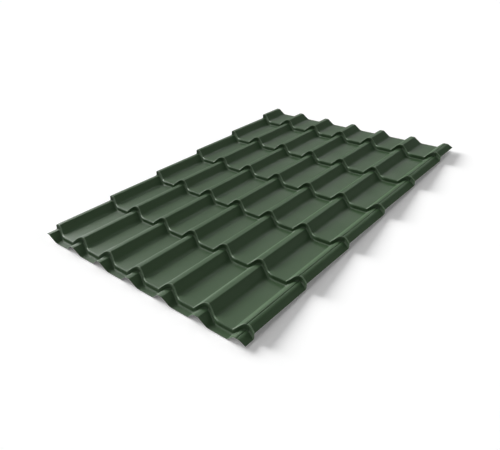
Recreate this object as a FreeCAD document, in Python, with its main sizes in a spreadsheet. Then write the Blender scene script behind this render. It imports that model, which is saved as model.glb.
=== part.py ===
import FreeCAD, Part
import math
import os

# Tile-effect metal roofing sheet: one roll-formed and stamped steel sheet.
# X runs across the waves, Y from the eaves end (front, minus) to the back, Z up.
# Every size is in millimetres and every angle in degrees.

doc = FreeCAD.newDocument("TileEffectRoofingSheet")

SIZES = [
    # the sheet and its layout
    ("thickness", 0.5),        # coated steel
    ("cover_width", 1100.0),    # width one sheet covers, six whole waves
    ("wave_count", 6),
    ("module_length", 300.0),   # length of one tile, step to step
    ("step_count", 6),
    ("front_lip", 31.0),        # sheet in front of the first step
    ("back_part", 174.0),       # sheet behind the last step
    ("left_margin", 4.0),       # left edge, measured back from the first crest
    ("right_margin", 81.0),     # right edge, measured from the last trough corner
    # one wave, read from the trough corner to the right
    ("crest_height", 28.5),
    ("corner_radius", 4.0),
    ("rise_angle", 42.0),
    ("crest_radius", 23.0),
    ("flank_angle", 35.0),
    ("pan_radius", 30.0),
    # the wide crest at the right edge, with its drain groove
    ("shoulder_radius", 30.0),
    ("shoulder_angle", 30.0),
    ("groove_lip", 1.5),
    ("groove_bed", 2.0),
    ("groove_angle", 60.0),
    # the stamped step
    ("step_height", 22.0),
    ("step_draft", 2.0),        # how far the foot of a step stands before its top
    ("arch_depth", 26.0),       # how far a step is set back under the crest
    ("arch_peak", 50.0),        # where it is set back most, from the trough corner
    ("arch_end", 122.0),        # where it is straight again
]

sheet = doc.addObject("Spreadsheet::Sheet", "Sizes")
for row, (alias, value) in enumerate(SIZES, start=1):
    sheet.set("A%d" % row, alias)
    sheet.set("B%d" % row, str(value))
    sheet.setAlias("B%d" % row, alias)
doc.recompute()

roof = doc.addObject("Part::Feature", "RoofingSheet")
roof.Label = "roofing_sheet"
for alias, value in SIZES:
    name = "".join(word.capitalize() for word in alias.split("_"))
    roof.addProperty("App::PropertyFloat", name, "Sizes")
    roof.setExpression(name, "Sizes." + alias)
roof.addProperty("App::PropertyFloat", "Pitch", "Sizes")
roof.setExpression("Pitch", "Sizes.cover_width / Sizes.wave_count")
doc.recompute()

PITCH = roof.Pitch
THICK = roof.Thickness
MODULE = roof.ModuleLength
STEP = roof.StepHeight
WAVES = int(round(roof.WaveCount))
STEPS = int(round(roof.StepCount))
RISE = math.radians(roof.RiseAngle)
FLANK = math.radians(roof.FlankAngle)
SHOULDER = math.radians(roof.ShoulderAngle)
GROOVE = math.radians(roof.GrooveAngle)
CREST_R = roof.CrestRadius
PAN_R = roof.PanRadius
HEIGHT = roof.CrestHeight
SAMPLES = 7

# Distance from a trough corner to the crest on its right: the rise and the crest
# round are tangent to each other.
CREST_X = CREST_R * math.sin(RISE) + (HEIGHT - CREST_R * (1 - math.cos(RISE))) / math.tan(RISE)


class Bend:
    """Round of the section; crown is +1 over a crest and -1 under a trough."""

    def __init__(self, centre_x, centre_z, radius, crown, start, end):
        self.centre_x = centre_x
        self.centre_z = centre_z
        self.radius = radius
        self.crown = crown
        self.start = start
        self.end = end

    def point(self, share, inset):
        """Point at a share of the round, inset below the top face."""
        heading = self.start + (self.end - self.start) * share
        reach = self.radius - self.crown * inset
        x = self.centre_x - self.crown * reach * math.sin(heading)
        z = self.centre_z + self.crown * reach * math.cos(heading)
        return x, z


class Flat:
    """Straight run of the section between two points of the top face."""

    def __init__(self, first, last):
        self.first = first
        self.last = last
        self.heading = math.atan2(last[1] - first[1], last[0] - first[0])

    def point(self, share, inset):
        """Point at a share of the run, inset below the top face."""
        x = self.first[0] + (self.last[0] - self.first[0]) * share
        z = self.first[1] + (self.last[1] - self.first[1]) * share
        return x + inset * math.sin(self.heading), z - inset * math.cos(self.heading)


def arch(x):
    """How far a step is set back at x: nothing in the pans, most under the crests."""
    place = x % PITCH
    if place < roof.ArchPeak:
        turn = (roof.ArchPeak - place) / roof.ArchPeak
    elif place < roof.ArchEnd:
        turn = (place - roof.ArchPeak) / (roof.ArchEnd - roof.ArchPeak)
    else:
        turn = 1.0
    return roof.ArchDepth * math.cos(turn * math.pi / 2) ** 2


def section():
    """Rounds and straight runs of the whole section, from the left edge to the right."""
    runs = []
    corner_r = roof.CornerRadius
    for wave in range(-1, WAVES):
        corner = wave * PITCH
        crest = corner + CREST_X
        last = wave == WAVES - 1
        if wave >= 0:
            bend = Bend(corner - corner_r * math.tan(RISE / 2), corner_r, corner_r, -1, 0.0, RISE)
            runs.append(Flat((corner - PITCH + roof.ArchEnd, 0.0), bend.point(0, 0)))
            runs.append(bend)
            start = RISE
            crown = Bend(crest, HEIGHT - CREST_R, CREST_R, 1, start, 0.0 if last else -FLANK)
            runs.append(Flat(bend.point(1, 0), crown.point(0, 0)))
        else:
            start = math.asin(roof.LeftMargin / CREST_R)
            crown = Bend(crest, HEIGHT - CREST_R, CREST_R, 1, start, -FLANK)
        runs.append(crown)
        if last:
            lip_r = roof.GrooveLip
            bed_r = roof.GrooveBed
            half = (lip_r + bed_r) * math.sin(GROOVE)
            bed_z = HEIGHT - lip_r + (lip_r + bed_r) * math.cos(GROOVE)
            runs.append(Bend(crest, HEIGHT - lip_r, lip_r, 1, 0.0, -GROOVE))
            runs.append(Bend(crest + half, bed_z, bed_r, -1, -GROOVE, GROOVE))
            runs.append(Bend(crest + 2 * half, HEIGHT - lip_r, lip_r, 1, GROOVE, 0.0))
            wide_r = roof.ShoulderRadius
            shoulder = Bend(crest + 2 * half, HEIGHT - wide_r, wide_r, 1, 0.0, -SHOULDER)
            runs.append(shoulder)
            foot = shoulder.point(1, 0)
            edge_x = corner + roof.RightMargin
            runs.append(Flat(foot, (edge_x, foot[1] - (edge_x - foot[0]) * math.tan(SHOULDER))))
        else:
            drop = HEIGHT - (CREST_R + PAN_R) * (1 - math.cos(FLANK))
            pan_x = crown.point(1, 0)[0] + drop / math.tan(FLANK) + PAN_R * math.sin(FLANK)
            pan = Bend(pan_x, PAN_R, PAN_R, -1, -FLANK, 0.0)
            runs.append(Flat(crown.point(1, 0), pan.point(0, 0)))
            runs.append(pan)
            runs.append(Flat(pan.point(1, 0), (corner + roof.ArchEnd, 0.0)))
    return runs


RUNS = section()
LEFT = RUNS[0].point(0, 0)[0]
RIGHT = RUNS[-1].point(1, 0)[0]


def samples(run, inset):
    """Points along one run of the section; the outer ends stay on the cut edges."""
    points = []
    for number in range(SAMPLES):
        points.append(run.point(number / (SAMPLES - 1), inset))
    if inset > 0 and run is RUNS[0]:
        reach = run.radius - inset
        points[0] = (LEFT, run.centre_z + math.sqrt(reach ** 2 - (run.centre_x - LEFT) ** 2))
    if inset > 0 and run is RUNS[-1]:
        x, z = run.point(1, inset)
        points[-1] = (RIGHT, z + (RIGHT - x) * math.tan(run.heading))
    return points


def edges(inset, place):
    """Edges of one cross line of the sheet; place turns x into y and the fall in z."""
    line = []
    for run in RUNS:
        points = []
        for x, z in samples(run, inset):
            along, fall = place(x)
            points.append(FreeCAD.Vector(x, along, z - fall))
        if isinstance(run, Flat) and arch(run.first[0] + 0.01) < 0.001 and arch(run.last[0]) < 0.001:
            line.append(Part.LineSegment(points[0], points[-1]).toShape())
        else:
            curve = Part.BSplineCurve()
            shares = [number / (SAMPLES - 1) for number in range(SAMPLES)]
            curve.interpolate(Points=points, Parameters=shares)
            line.append(curve.toShape())
    return line


def arched(base, level):
    """Cross line that follows the arches of a step, base along Y and level below it."""
    def place(x):
        along = arch(x) + base
        return along, STEP * along / MODULE + level
    return place


def straight(base, level):
    """Cross line along a straight cut."""
    def place(x):
        return base, STEP * base / MODULE + level
    return place


def cross_lines(inset):
    """All cross lines of one face, front to back: the cuts, and two at each step."""
    wall = inset * math.hypot(STEP, roof.StepDraft) / STEP
    lines = [edges(inset, straight(-roof.FrontLip, STEP))]
    for step in range(STEPS):
        top = step * MODULE + wall
        foot = top - roof.StepDraft
        lines.append(edges(inset, arched(foot, STEP - step * STEP)))
        lines.append(edges(inset, arched(top, -step * STEP)))
    back = (STEPS - 1) * MODULE + roof.BackPart
    lines.append(edges(inset, straight(back, -(STEPS - 1) * STEP)))
    return lines


def side(upper, lower, index, share):
    """Cut edge along one side of the sheet, between the two faces."""
    def corner(line):
        edge = line[index]
        return edge.valueAt(edge.FirstParameter if share == 0 else edge.LastParameter)
    ring = [corner(line) for line in upper] + [corner(line) for line in reversed(lower)]
    return Part.Face(Part.makePolygon(ring + ring[:1]))


def cut(upper, lower):
    """Cut edge across the front or the back, between the two faces."""
    ring = list(upper) + list(lower)
    for number in (0, -1):
        first = upper[number]
        last = lower[number]
        where = first.FirstParameter if number == 0 else first.LastParameter
        other = last.FirstParameter if number == 0 else last.LastParameter
        ring.append(Part.LineSegment(first.valueAt(where), last.valueAt(other)).toShape())
    return Part.Face(Part.Wire(Part.__sortEdges__(ring)))


def patch(near, far):
    """Face between two matching edges, flat where all of it lies in one plane."""
    ends = []
    for number in (0, -1):
        ends.append(Part.LineSegment(near.Vertexes[number].Point, far.Vertexes[number].Point).toShape())
    ring = Part.Wire(Part.__sortEdges__([near, far] + ends))
    plane = ring.findPlane(0.0001)
    return Part.makeRuledSurface(near, far) if plane is None else Part.Face(ring)


top_lines = cross_lines(0.0)
under_lines = cross_lines(THICK)
faces = []
for lines in (top_lines, under_lines):
    for near, far in zip(lines, lines[1:]):
        for first, second in zip(near, far):
            faces.append(patch(first, second))
faces.append(side(top_lines, under_lines, 0, 0))
faces.append(side(top_lines, under_lines, -1, 1))
faces.append(cut(top_lines[0], under_lines[0]))
faces.append(cut(top_lines[-1], under_lines[-1]))

skin = Part.makeCompound(faces)
skin.sewShape(0.001)
shells = skin.Shells
solid = Part.Solid(shells[0])
if solid.Volume < 0:
    solid.reverse()

roof.Shape = solid
box = solid.optimalBoundingBox(False, False)
roof.Placement = FreeCAD.Placement(
    FreeCAD.Vector(-box.Center.x, -box.Center.y, -box.ZMin), FreeCAD.Rotation()
)
doc.recompute()

for item in doc.Objects:
    if "Invalid" in item.State or "Error" in item.State:
        raise RuntimeError("not built: " + item.Label)
if roof.Shape.isNull() or not roof.Shape.isValid() or len(shells) != 1:
    raise RuntimeError("the sheet is not one valid solid")

os.makedirs("parts", exist_ok=True)
roof.Shape.exportStep("parts/roofing_sheet.step")
print("volume", roof.Shape.Volume, "moved by", roof.Placement.Base)
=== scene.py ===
"""Tile-effect metal roofing sheet, dressed on its CAD frame.

X runs across the waves, Y from the eaves end to the back, Z up. All sizes are metres.
"""
import logging
import math
from dataclasses import dataclass, field
from enum import Enum

import bmesh
import bpy
from mathutils import Matrix, Vector


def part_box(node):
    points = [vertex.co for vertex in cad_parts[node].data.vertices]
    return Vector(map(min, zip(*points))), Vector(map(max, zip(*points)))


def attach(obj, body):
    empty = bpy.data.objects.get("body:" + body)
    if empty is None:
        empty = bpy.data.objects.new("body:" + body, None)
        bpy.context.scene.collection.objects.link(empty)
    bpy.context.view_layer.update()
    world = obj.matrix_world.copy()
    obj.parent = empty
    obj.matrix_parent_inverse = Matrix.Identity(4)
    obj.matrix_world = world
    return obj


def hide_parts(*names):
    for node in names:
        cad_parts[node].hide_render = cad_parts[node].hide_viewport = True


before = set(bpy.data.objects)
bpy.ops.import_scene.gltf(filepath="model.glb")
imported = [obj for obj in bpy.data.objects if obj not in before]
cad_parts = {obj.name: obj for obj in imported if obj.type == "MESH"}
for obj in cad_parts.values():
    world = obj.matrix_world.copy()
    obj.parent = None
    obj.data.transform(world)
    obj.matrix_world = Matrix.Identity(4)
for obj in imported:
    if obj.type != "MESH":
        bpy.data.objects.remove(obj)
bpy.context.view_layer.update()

NODE = "roofing_sheet"
LOG = logging.getLogger(NODE)

# Points nearer than this are merged.
MERGE_GAP = 0.00002
# Points nearer than this across the waves stand at one station.
SAME_PLACE = 0.000002
# The sides and the sheared ends stay this far inside the solid's box.
SIDE_GAP = 0.0003
END_GAP = 0.00005
# Size of the plane that a line or piece starts from.
SEED = 0.001
# Stations of a run or round: few where it is short, many where it shows.
FEW, SOME, MANY = 4, 6, 8


class Side(Enum):
    """Material places on the sheet, in the order of its slots."""

    FACE = 0
    BACKING = 1
    CUT = 2
    # Slot of the paler coat that paints a highlight on the step bends.
    STRETCHED = 3


def linear(code: str) -> tuple[float, float, float, float]:
    """Turn an sRGB hex colour into linear RGBA.

    Args:
        code: colour as six hex digits, with or without a leading hash.

    Returns:
        The linear colour with alpha 1.
    """
    digits = code.lstrip("#")
    parts = []
    for place in (0, 2, 4):
        value = int(digits[place:place + 2], 16) / 255
        parts.append(value / 12.92 if value <= 0.04045 else ((value + 0.055) / 1.055) ** 2.4)
    return (parts[0], parts[1], parts[2], 1.0)


def add_node(
    tree: bpy.types.NodeTree,
    kind: str,
    settings: dict[str, object] | None = None,
    values: dict[str, object] | None = None,
    links: dict[str, bpy.types.NodeSocket] | None = None,
) -> bpy.types.Node:
    """Add one node with its settings, socket values and incoming links.

    Args:
        tree: node tree that gets the node.
        kind: node type, as Blender names it.
        settings: properties of the node.
        values: input socket values by socket name.
        links: output sockets to link, by the name of the input they go to.

    Returns:
        The new node.
    """
    node = tree.nodes.new(kind)
    for name, value in (settings or {}).items():
        setattr(node, name, value)
    for name, value in (values or {}).items():
        node.inputs[name].default_value = value
    for name, source in (links or {}).items():
        tree.links.new(source, node.inputs[name])
    return node


def new_material(name: str) -> tuple[bpy.types.Material, bpy.types.NodeTree]:
    """Make a material with an empty node tree.

    Args:
        name: name of the finish.

    Returns:
        The material and its node tree.
    """
    material = bpy.data.materials.new(name)
    material.use_nodes = True
    material.node_tree.nodes.clear()
    return material, material.node_tree


@dataclass(frozen=True)
class PolyesterCoat:
    """Satin dark green polyester, coil coated: smooth, with a faint orange peel."""

    name: str = "polyester_coat_satin_green"
    colour: str = "#395234"
    ior: float = 1.45
    roughness: float = 0.50
    roughness_spread: float = 0.04
    cloud_size: float = 0.18
    cloud_range: tuple[float, float] = (0.3, 0.7)
    peel_size: float = 0.004
    peel_depth: float = 0.0001
    peel_strength: float = 0.12

    def material(self) -> bpy.types.Material:
        """Build the material of the coated face.

        Returns:
            The material.
        """
        material, tree = new_material(self.name)
        place = add_node(tree, "ShaderNodeTexCoord").outputs["Object"]
        # Soft clouds in the gloss, as wide as a pan, from the flex of thin sheet.
        cloud = add_node(
            tree, "ShaderNodeTexNoise",
            values={"Scale": 1 / self.cloud_size, "Detail": 2.0, "Roughness": 0.5},
            links={"Vector": place},
        )
        gloss = add_node(
            tree, "ShaderNodeMapRange",
            values={"From Min": self.cloud_range[0], "From Max": self.cloud_range[1],
                    "To Min": self.roughness - self.roughness_spread,
                    "To Max": self.roughness + self.roughness_spread},
            links={"Value": cloud.outputs["Fac"]},
        )
        # Orange peel of the coat, drawn 4 mm wide so that a close view can show it.
        peel = add_node(
            tree, "ShaderNodeTexNoise",
            values={"Scale": 1 / self.peel_size, "Detail": 1.0},
            links={"Vector": place},
        )
        bump = add_node(
            tree, "ShaderNodeBump",
            values={"Strength": self.peel_strength, "Distance": self.peel_depth},
            links={"Height": peel.outputs["Fac"]},
        )
        shader = add_node(
            tree, "ShaderNodeBsdfPrincipled",
            values={"Base Color": linear(self.colour), "IOR": self.ior},
            links={"Roughness": gloss.outputs["Result"], "Normal": bump.outputs["Normal"]},
        )
        add_node(tree, "ShaderNodeOutputMaterial", links={"Surface": shader.outputs["BSDF"]})
        return material


@dataclass(frozen=True)
class PaintedHighlightCoat(PolyesterCoat):
    """The same coat, painted paler over the bends of the steps: a painted highlight."""

    name: str = "polyester_coat_painted_highlight"
    colour: str = "#596E55"


@dataclass(frozen=True)
class BackingCoat:
    """Grey epoxy primer of the underside: thin, even and dull."""

    colour: str = "#8E908A"
    ior: float = 1.5
    roughness: float = 0.6
    roughness_spread: float = 0.05
    grain_size: float = 0.02

    def material(self) -> bpy.types.Material:
        """Build the material of the underside.

        Returns:
            The material.
        """
        material, tree = new_material("epoxy_backing_grey")
        place = add_node(tree, "ShaderNodeTexCoord").outputs["Object"]
        grain = add_node(
            tree, "ShaderNodeTexNoise",
            values={"Scale": 1 / self.grain_size, "Detail": 3.0},
            links={"Vector": place},
        )
        gloss = add_node(
            tree, "ShaderNodeMapRange",
            values={"To Min": self.roughness - self.roughness_spread,
                    "To Max": self.roughness + self.roughness_spread},
            links={"Value": grain.outputs["Fac"]},
        )
        shader = add_node(
            tree, "ShaderNodeBsdfPrincipled",
            values={"Base Color": linear(self.colour), "IOR": self.ior},
            links={"Roughness": gloss.outputs["Result"]},
        )
        add_node(tree, "ShaderNodeOutputMaterial", links={"Surface": shader.outputs["BSDF"]})
        return material


@dataclass(frozen=True)
class CutSteel:
    """Sheared zinc-coated steel of the cut edges: grey metal with fine shear marks."""

    colour: str = "#8A8C8C"
    roughness: float = 0.45
    roughness_spread: float = 0.1
    mark_size: float = 0.0015

    def material(self) -> bpy.types.Material:
        """Build the material of the cut edges.

        Returns:
            The material.
        """
        material, tree = new_material("galvanised_steel_cut_edge")
        place = add_node(tree, "ShaderNodeTexCoord").outputs["Object"]
        marks = add_node(
            tree, "ShaderNodeTexNoise",
            values={"Scale": 1 / self.mark_size, "Detail": 2.0},
            links={"Vector": place},
        )
        gloss = add_node(
            tree, "ShaderNodeMapRange",
            values={"To Min": self.roughness - self.roughness_spread,
                    "To Max": self.roughness + self.roughness_spread},
            links={"Value": marks.outputs["Fac"]},
        )
        shader = add_node(
            tree, "ShaderNodeBsdfPrincipled",
            values={"Base Color": linear(self.colour), "Metallic": 1.0},
            links={"Roughness": gloss.outputs["Result"]},
        )
        add_node(tree, "ShaderNodeOutputMaterial", links={"Surface": shader.outputs["BSDF"]})
        return material


class Pen:
    """Draws the section in edit mode: each run is an extrude, each round a spin."""

    def __init__(self, x: float, y: float, z: float) -> None:
        """Start a line at one point, heading along +X.

        Args:
            x: place of the point across the waves.
            y: place of the point along the sheet.
            z: height of the point.
        """
        self.place = Vector((x, y, z))
        self.heading = 0.0
        bpy.ops.mesh.select_all(action="DESELECT")
        bpy.ops.mesh.primitive_plane_add(size=SEED, location=self.place)
        bpy.ops.mesh.merge(type="CENTER")

    def run(self, length: float, stations: int = 1) -> None:
        """Draw a straight run along the heading.

        Args:
            length: length of the run.
            stations: number of equal parts it is drawn in.
        """
        part = length / stations
        move = Vector((part * math.cos(self.heading), 0.0, part * math.sin(self.heading)))
        for _ in range(stations):
            bpy.ops.mesh.extrude_region_move(TRANSFORM_OT_translate={"value": move})
            self.place += move

    def turn(self, radius: float, angle: float, stations: int) -> None:
        """Draw a round that is tangent to the heading.

        Args:
            radius: radius of the round.
            angle: turn, upwards where positive.
            stations: number of equal parts it is drawn in.
        """
        way = math.copysign(1.0, angle)
        normal = Vector((-math.sin(self.heading), 0.0, math.cos(self.heading)))
        centre = self.place + normal * radius * way
        bpy.ops.mesh.spin(
            steps=stations, dupli=False, angle=angle, use_auto_merge=False,
            center=centre, axis=(0.0, 1.0, 0.0),
        )
        self.heading += angle
        normal = Vector((-math.sin(self.heading), 0.0, math.cos(self.heading)))
        self.place = centre - normal * radius * way


@dataclass
class Section:
    """The cross section: one common wave, and the wide lap crest at the right.

    A wave starts at its trough corner. The rise leads to the crest, whose top leans on to
    a tight edge, and the flank falls from there to the pan. Each step is set back between
    the trough corner and arch_end, most at arch_peak.
    """

    pitch: float = 1.1 / 6
    crest_height: float = 0.0285
    corner_radius: float = 0.004
    rise: float = math.radians(42.0)
    crest_radius: float = 0.023
    crest_stations: int = 9
    lean: float = math.radians(6.0)
    top_radius: float = 0.095
    top_angle: float = math.radians(3.0)
    edge_radius: float = 0.008
    flank: float = math.radians(37.0)
    pan_radius: float = 0.025
    arch_depth: float = 0.026
    arch_peak: float = 0.050
    arch_end: float = 0.122
    groove_lip: float = 0.0015
    groove_bed: float = 0.0020
    groove_angle: float = math.radians(60.0)
    shoulder_radius: float = 0.030
    shoulder: float = math.radians(30.0)
    right_margin: float = 0.081
    left_margin: float = 0.004
    crest_start: float = 0.012
    flank_start: float = 0.054
    flank_end: float = 0.100
    # The values below set where the paler coat paints a highlight on the step bends.
    highlight_min_slope: float = math.radians(1.0)
    nose_slope: float = math.radians(55.0)
    flank_slope: float = math.radians(80.0)
    foot_slopes: tuple[float, float] = (math.radians(40.0), math.radians(82.0))

    def corner_lead(self) -> float:
        """Distance from the start of the corner round to the trough corner."""
        return self.corner_radius * math.tan(self.rise / 2)

    def crest_x(self) -> float:
        """Distance from a trough corner to the crest on its right."""
        height = self.crest_height - self.crest_radius * (1 - math.cos(self.rise))
        return self.crest_radius * math.sin(self.rise) + height / math.tan(self.rise)

    def set_back(self, x: float) -> float:
        """How far a step is set back at x: most under the crests, nothing in the pans.

        Args:
            x: distance from the first trough corner.

        Returns:
            The set-back along Y.
        """
        place = x % self.pitch
        if place < self.arch_peak:
            turn = (self.arch_peak - place) / self.arch_peak
        elif place < self.arch_end:
            turn = (place - self.arch_peak) / (self.arch_end - self.arch_peak)
        else:
            turn = 1.0
        return self.arch_depth * math.cos(turn * math.pi / 2) ** 2

    def gets_painted_highlight(self, x: float, slope: float, at_nose: bool) -> bool:
        """Whether one place of a step gets the paler coat, a painted highlight on its bends.

        Args:
            x: distance from the first trough corner.
            slope: slope of the metal along the sheet.
            at_nose: whether the place is at the top of the step, not at its foot.

        Returns:
            True at the noses over the crests, on most of each step over the flanks, and
            at the feet in the pans.
        """
        place = x % self.pitch
        if slope < self.highlight_min_slope or place < self.crest_start:
            return False
        if place < self.flank_start:
            return at_nose and slope < self.nose_slope
        if place < self.flank_end:
            return not at_nose or slope < self.flank_slope
        return not at_nose and self.foot_slopes[0] < slope < self.foot_slopes[1]

    def climb(self, pen: Pen, lean: float) -> None:
        """Draw the trough corner, the rise, and the round at the left of the crest.

        Args:
            pen: pen at the start of the corner round.
            lean: slope that is left after the round.
        """
        pen.turn(self.corner_radius, self.rise, FEW)
        height = self.crest_height - self.corner_radius * (1 - math.cos(self.rise))
        height -= self.top_radius * (1 - math.cos(lean))
        height -= self.crest_radius * (math.cos(lean) - math.cos(self.rise))
        pen.run(height / math.sin(self.rise), MANY)
        pen.turn(self.crest_radius, lean - self.rise, self.crest_stations)

    def draw_wave(self, pen: Pen) -> None:
        """Draw one common wave, from a trough corner to the next.

        Args:
            pen: pen at the start of the corner round.
        """
        start = pen.place.x + self.corner_lead()
        trough = pen.place.z
        self.climb(pen, self.lean)
        pen.turn(self.top_radius, -self.lean - self.top_angle, SOME)
        pen.turn(self.edge_radius, self.top_angle - self.flank, MANY)
        fall = pen.place.z - trough - self.pan_radius * (1 - math.cos(self.flank))
        pen.run(fall / math.sin(self.flank), MANY)
        pen.turn(self.pan_radius, self.flank, MANY)
        pen.run(start + self.arch_end - pen.place.x, SOME)
        pen.run(start + self.pitch - self.corner_lead() - pen.place.x, FEW)

    def draw_lap(self, pen: Pen) -> None:
        """Draw the lap crest with its drain groove, out to the right edge.

        Args:
            pen: pen at the start of the corner round.
        """
        edge = pen.place.x + self.corner_lead() + self.right_margin - SIDE_GAP
        self.climb(pen, 0.0)
        pen.turn(self.groove_lip, -self.groove_angle, FEW)
        pen.turn(self.groove_bed, 2 * self.groove_angle, SOME)
        pen.turn(self.groove_lip, -self.groove_angle, FEW)
        pen.turn(self.shoulder_radius, -self.shoulder, SOME)
        pen.run((edge - pen.place.x) / math.cos(self.shoulder), SOME)


@dataclass
class Module:
    """One row of tiles along the sheet: a ramp and the stamped step behind it."""

    length: float = 0.300
    height: float = 0.022
    draft: float = 0.002
    nose_radius: float = 0.0050
    foot_radius: float = 0.0062
    round_stations: int = 6
    ramp_stations: int = 3
    wall_stations: int = 2

    def fall(self) -> float:
        """Slope of the ramps, in height over length."""
        return self.height / self.length

    def lead(self) -> float:
        """Distance from the step's top corner to the end of its round."""
        return self.nose_radius * math.tan(self.turn() / 2)

    def turn(self) -> float:
        """Angle between the ramps and the step face."""
        return self.face() + math.atan(self.fall())

    def face(self) -> float:
        """Steepness of the step face."""
        return math.atan2(self.height - self.fall() * self.draft, self.draft)

    def moves(self) -> list[Vector]:
        """Moves along Y and Z that carry the section through one module.

        Returns:
            The moves, from behind one step to behind the next.
        """
        slope = -math.atan(self.fall())
        foot_lead = self.foot_radius * math.tan(self.turn() / 2)
        ramp = (self.length - self.draft) / math.cos(slope) - self.lead() - foot_lead
        wall = (self.height - self.fall() * self.draft) / math.sin(self.face())
        wall -= self.lead() + foot_lead
        path = [(ramp / self.ramp_stations, slope)] * self.ramp_stations
        path += self.arc(self.foot_radius, slope, self.turn())
        path += [(wall / self.wall_stations, self.face())] * self.wall_stations
        path += self.arc(self.nose_radius, self.face(), -self.turn())
        return [Vector((0.0, size * math.cos(way), size * math.sin(way))) for size, way in path]

    def arc(self, radius: float, start: float, turn: float) -> list[tuple[float, float]]:
        """Chords of one round of the step.

        Args:
            radius: radius of the round.
            start: heading where it starts.
            turn: angle that it turns by.

        Returns:
            Length and heading of each chord.
        """
        part = turn / self.round_stations
        chord = 2 * radius * math.sin(abs(part) / 2)
        return [(chord, start + part * (number + 0.5)) for number in range(self.round_stations)]


@dataclass
class RoofingSheet:
    """The whole sheet: section, modules and cut edges."""

    section: Section = field(default_factory=Section)
    module: Module = field(default_factory=Module)
    thickness: float = 0.0005
    waves: int = 6
    steps: int = 6
    front_lip: float = 0.031
    back_part: float = 0.174
    floor_lift: float = 0.022891
    smooth_angle: float = math.radians(35.0)

    def origin(self) -> Vector:
        """Find the first trough corner at the first step.

        Returns:
            Its place in the CAD frame.
        """
        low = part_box(NODE)[0]
        left = self.section.crest_x() - self.section.left_margin - self.section.pitch
        return Vector((low[0] - left, low[1] + self.front_lip, self.floor_lift))

    def build(self) -> bpy.types.Object:
        """Model the sheet as one thin shell.

        Returns:
            The finished object.
        """
        bpy.ops.object.select_all(action="DESELECT")
        bpy.ops.mesh.primitive_plane_add(size=SEED, location=(0.0, 0.0, 0.0))
        piece = bpy.context.object
        piece.name = "formed_sheet"
        bpy.ops.object.mode_set(mode="EDIT")
        bpy.ops.mesh.delete(type="VERT")
        self.draw_section(piece)
        self.sweep()
        self.trim()
        self.turn_up(piece)
        bpy.ops.object.mode_set(mode="OBJECT")
        wall = piece.modifiers.new("gauge", "SOLIDIFY")
        wall.thickness = self.thickness
        wall.offset = -1.0
        wall.use_even_offset = True
        wall.material_offset = Side.BACKING.value
        wall.material_offset_rim = Side.CUT.value
        self.dress(piece)
        bpy.ops.object.modifier_apply(modifier=wall.name)
        # Paint a highlight on the step bends with the paler coat.
        self.paint_bend_highlights(piece)
        bpy.ops.object.shade_smooth_by_angle(angle=self.smooth_angle)
        return piece

    def draw_section(self, piece: bpy.types.Object) -> None:
        """Draw the section line behind one step, with the arches of the steps in it.

        Args:
            piece: object in edit mode.
        """
        home = self.origin()
        slope = math.atan(self.module.fall())
        y = home.y - self.module.length + self.module.lead() * math.cos(slope)
        z = home.z - self.module.lead() * math.sin(slope)
        x = home.x - self.section.corner_lead()
        self.section.draw_wave(Pen(x - self.section.pitch, y, z))
        bpy.ops.mesh.select_all(action="SELECT")
        for _ in range(self.waves - 1):
            step = {"value": (self.section.pitch, 0.0, 0.0)}
            bpy.ops.mesh.duplicate_move(TRANSFORM_OT_translate=step)
        self.section.draw_lap(Pen(x + (self.waves - 1) * self.section.pitch, y, z))
        bpy.ops.mesh.select_all(action="SELECT")
        bpy.ops.mesh.remove_doubles(threshold=MERGE_GAP)
        mesh = bmesh.from_edit_mesh(piece.data)
        places = sorted({round(point.co.x - home.x, 6) for point in mesh.verts})
        for place in places:
            back = self.section.set_back(place)
            if back > SAME_PLACE:
                for point in mesh.verts:
                    point.select_set(abs(point.co.x - home.x - place) < SAME_PLACE)
                mesh.select_flush_mode()
                bmesh.update_edit_mesh(piece.data)
                bpy.ops.transform.translate(value=(0.0, back, -back * self.module.fall()))

    def sweep(self) -> None:
        """Carry the section through one module, and copy that row along the sheet."""
        bpy.ops.mesh.select_all(action="SELECT")
        for move in self.module.moves():
            bpy.ops.mesh.extrude_region_move(TRANSFORM_OT_translate={"value": move})
        bpy.ops.mesh.select_all(action="SELECT")
        for _ in range(self.steps):
            step = {"value": (0.0, self.module.length, 0.0)}
            bpy.ops.mesh.duplicate_move(TRANSFORM_OT_translate=step)
        bpy.ops.mesh.select_all(action="SELECT")
        bpy.ops.mesh.remove_doubles(threshold=MERGE_GAP)

    def trim(self) -> None:
        """Shear the left side and both ends square."""
        home = self.origin()
        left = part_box(NODE)[0][0] + SIDE_GAP
        front = home.y - self.front_lip + END_GAP
        back = home.y + (self.steps - 1) * self.module.length + self.back_part - END_GAP
        cuts = [
            ((left, 0.0, 0.0), (-1.0, 0.0, 0.0)),
            ((0.0, front, 0.0), (0.0, -1.0, 0.0)),
            ((0.0, back, 0.0), (0.0, 1.0, 0.0)),
        ]
        for place, way in cuts:
            bpy.ops.mesh.select_all(action="SELECT")
            bpy.ops.mesh.bisect(
                plane_co=place, plane_no=way, use_fill=False, clear_outer=True,
                threshold=MERGE_GAP / 2,
            )

    def turn_up(self, piece: bpy.types.Object) -> None:
        """Point the faces up, away from the roof.

        Args:
            piece: object in edit mode.
        """
        bpy.ops.mesh.select_all(action="SELECT")
        bpy.ops.mesh.normals_make_consistent(inside=False)
        mesh = bmesh.from_edit_mesh(piece.data)
        if sum(face.normal.z * face.calc_area() for face in mesh.faces) < 0:
            bpy.ops.mesh.flip_normals()

    def dress(self, piece: bpy.types.Object) -> None:
        """Give the sheet its finishes, in the order of their slots.

        Args:
            piece: the sheet.
        """
        # The last finish is the paler coat that paints a highlight on the step bends.
        for finish in (PolyesterCoat(), BackingCoat(), CutSteel(), PaintedHighlightCoat()):
            piece.data.materials.append(finish.material())

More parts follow.
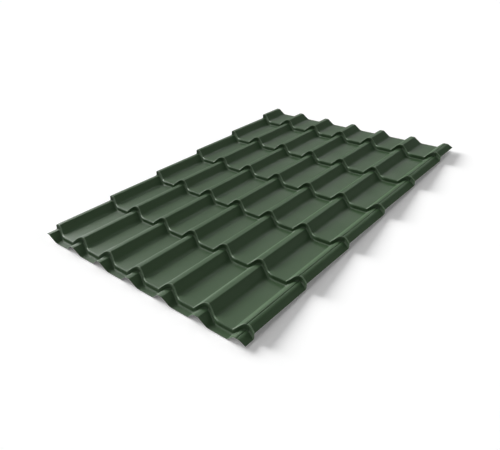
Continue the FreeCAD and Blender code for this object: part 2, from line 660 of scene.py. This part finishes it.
    def paint_bend_highlights(self, piece: bpy.types.Object) -> None:
        """Give the bends of the steps the paler coat, a painted highlight.

        Args:
            piece: the sheet, with its gauge.
        """
        home = self.origin()
        mesh = piece.data
        for face in mesh.polygons:
            if face.material_index == Side.FACE.value:
                x = face.center.x - home.x
                y = face.center.y - home.y - self.section.set_back(x) + self.module.draft / 2
                at_nose = y % self.module.length < self.module.length / 2
                slope = self.slope_of([mesh.vertices[number].co for number in face.vertices])
                if self.section.gets_painted_highlight(x, slope, at_nose):
                    face.material_index = Side.STRETCHED.value

    def slope_of(self, corners: list[Vector]) -> float:
        """Slope, along the sheet, of one face that was swept.

        Args:
            corners: corners of the face, in order.

        Returns:
            The slope, level as 0 and upright as a quarter turn.
        """
        for first, second in zip(corners, corners[1:] + corners[:1]):
            move = second - first
            if abs(move.x) < SAME_PLACE and move.length > MERGE_GAP:
                way = math.copysign(1.0, move.y)
                return math.atan2(way * move.z, way * move.y)
        return 0.0

    def declare(self, piece: bpy.types.Object) -> None:
        """Attach the piece to the root body, and hide the CAD part that it stands for.

        Args:
            piece: the sheet.
        """
        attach(piece, "root")
        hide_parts(NODE)


@dataclass(frozen=True)
class SoftLamp:
    """One soft, distant lamp: the way it stands in, its strength, its width in degrees."""

    name: str
    stands: tuple[float, float, float]
    strength: float
    width: float

    def hang(self) -> bpy.types.Object:
        """Hang the lamp.

        Returns:
            The lamp's object.
        """
        data = bpy.data.lights.new(self.name, "SUN")
        data.energy = self.strength
        data.angle = math.radians(self.width)
        lamp = bpy.data.objects.new(self.name, data)
        lamp.rotation_euler = Vector(self.stands).to_track_quat("Z", "Y").to_euler()
        bpy.context.scene.collection.objects.link(lamp)
        return lamp


@dataclass
class Studio:
    """Plain white floor, soft low light from the left, and the camera."""

    floor_size: float = 40.0
    paint: str = "#FAFAFA"
    glow: float = 0.11
    lamps: tuple[SoftLamp, ...] = (
        SoftLamp("low_key", (-0.920, -0.032, 0.391), 3.60, 20.0),
        SoftLamp("near_key", (-0.908, 0.243, 0.342), 1.30, 20.0),
        SoftLamp("right_fill", (0.672, 0.672, 0.309), 0.50, 30.0),
        SoftLamp("front_fill", (-0.672, -0.672, 0.309), 0.12, 30.0),
        SoftLamp("top_fill", (0.0, -0.423, 0.906), 0.48, 30.0),
        SoftLamp("zenith_fill", (0.0, 0.0, 1.0), 0.24, 40.0),
        SoftLamp("back_fill", (-0.444, 0.711, 0.545), 0.30, 20.0),
        SoftLamp("low_back_fill", (-0.243, 0.908, 0.342), 0.11, 20.0),
    )
    sky: float = 0.02
    eye: tuple[float, float, float] = (1.3874, -1.6778, 1.2224)
    across: tuple[float, float, float] = (0.77136, 0.63173, -0.07692)
    back: tuple[float, float, float] = (0.56399, -0.62260, 0.54248)
    sensor_width: float = 36.0
    lens: float = 36.88

    def build(self) -> bpy.types.Object:
        """Set up the whole studio.

        Returns:
            The floor.
        """
        scene = bpy.context.scene
        scene.view_settings.view_transform = "Standard"
        self.light()
        scene.camera = self.camera()
        return self.floor()

    def floor(self) -> bpy.types.Object:
        """Lay the floor: white to the eye and in reflections, and it keeps the shadow.

        Returns:
            The floor.
        """
        bpy.ops.object.select_all(action="DESELECT")
        bpy.ops.mesh.primitive_plane_add(size=self.floor_size, location=(0.0, 0.0, 0.0))
        floor = bpy.context.object
        floor.name = "studio_floor"
        material, tree = new_material("matt_white_floor")
        paint = add_node(tree, "ShaderNodeBsdfDiffuse", values={"Color": linear(self.paint)})
        path = add_node(tree, "ShaderNodeLightPath")
        seen = add_node(tree, "ShaderNodeMath", {"operation": "ADD", "use_clamp": True})
        tree.links.new(path.outputs["Is Camera Ray"], seen.inputs[0])
        tree.links.new(path.outputs["Is Glossy Ray"], seen.inputs[1])
        passed = add_node(tree, "ShaderNodeMath", {"operation": "ADD", "use_clamp": True})
        tree.links.new(seen.outputs[0], passed.inputs[0])
        tree.links.new(path.outputs["Is Transmission Ray"], passed.inputs[1])
        lift = add_node(tree, "ShaderNodeMath", {"operation": "MULTIPLY"})
        tree.links.new(passed.outputs[0], lift.inputs[0])
        lift.inputs[1].default_value = self.glow
        glow = add_node(
            tree, "ShaderNodeEmission", values={"Color": (1.0, 1.0, 1.0, 1.0)},
            links={"Strength": lift.outputs[0]},
        )
        both = add_node(tree, "ShaderNodeAddShader")
        tree.links.new(paint.outputs[0], both.inputs[0])
        tree.links.new(glow.outputs[0], both.inputs[1])
        add_node(tree, "ShaderNodeOutputMaterial", links={"Surface": both.outputs[0]})
        floor.data.materials.append(material)
        return floor

    def light(self) -> None:
        """Hang the lamps, and fill with an even grey sky."""
        for lamp in self.lamps:
            lamp.hang()
        world = bpy.data.worlds.new("studio_sky")
        world.use_nodes = True
        world.node_tree.nodes.clear()
        back = add_node(
            world.node_tree, "ShaderNodeBackground",
            values={"Color": (1.0, 1.0, 1.0, 1.0), "Strength": self.sky},
        )
        add_node(world.node_tree, "ShaderNodeOutputWorld", links={"Surface": back.outputs[0]})
        bpy.context.scene.world = world

    def camera(self) -> bpy.types.Object:
        """Stand the camera to the right of the eaves end, looking down the sheet.

        Returns:
            The camera.
        """
        data = bpy.data.cameras.new("camera")
        data.sensor_fit = "HORIZONTAL"
        data.sensor_width = self.sensor_width
        data.lens = self.lens
        camera = bpy.data.objects.new("camera", data)
        across = Vector(self.across).normalized()
        back = Vector(self.back).normalized()
        up = back.cross(across).normalized()
        across = up.cross(back)
        turn = Matrix((across, up, back)).transposed().to_4x4()
        camera.matrix_world = Matrix.Translation(self.eye) @ turn
        bpy.context.scene.collection.objects.link(camera)
        return camera


def main() -> None:
    """Build and dress everything, in order, and report each piece."""
    logging.basicConfig(level=logging.INFO, format="%(name)s: %(message)s")
    sheet = RoofingSheet()
    piece = sheet.build()
    sheet.declare(piece)
    LOG.info("%s has %d faces", piece.name, len(piece.data.polygons))
    floor = Studio().build()
    LOG.info("%s laid", floor.name)


if __name__ == "__main__":
    main()
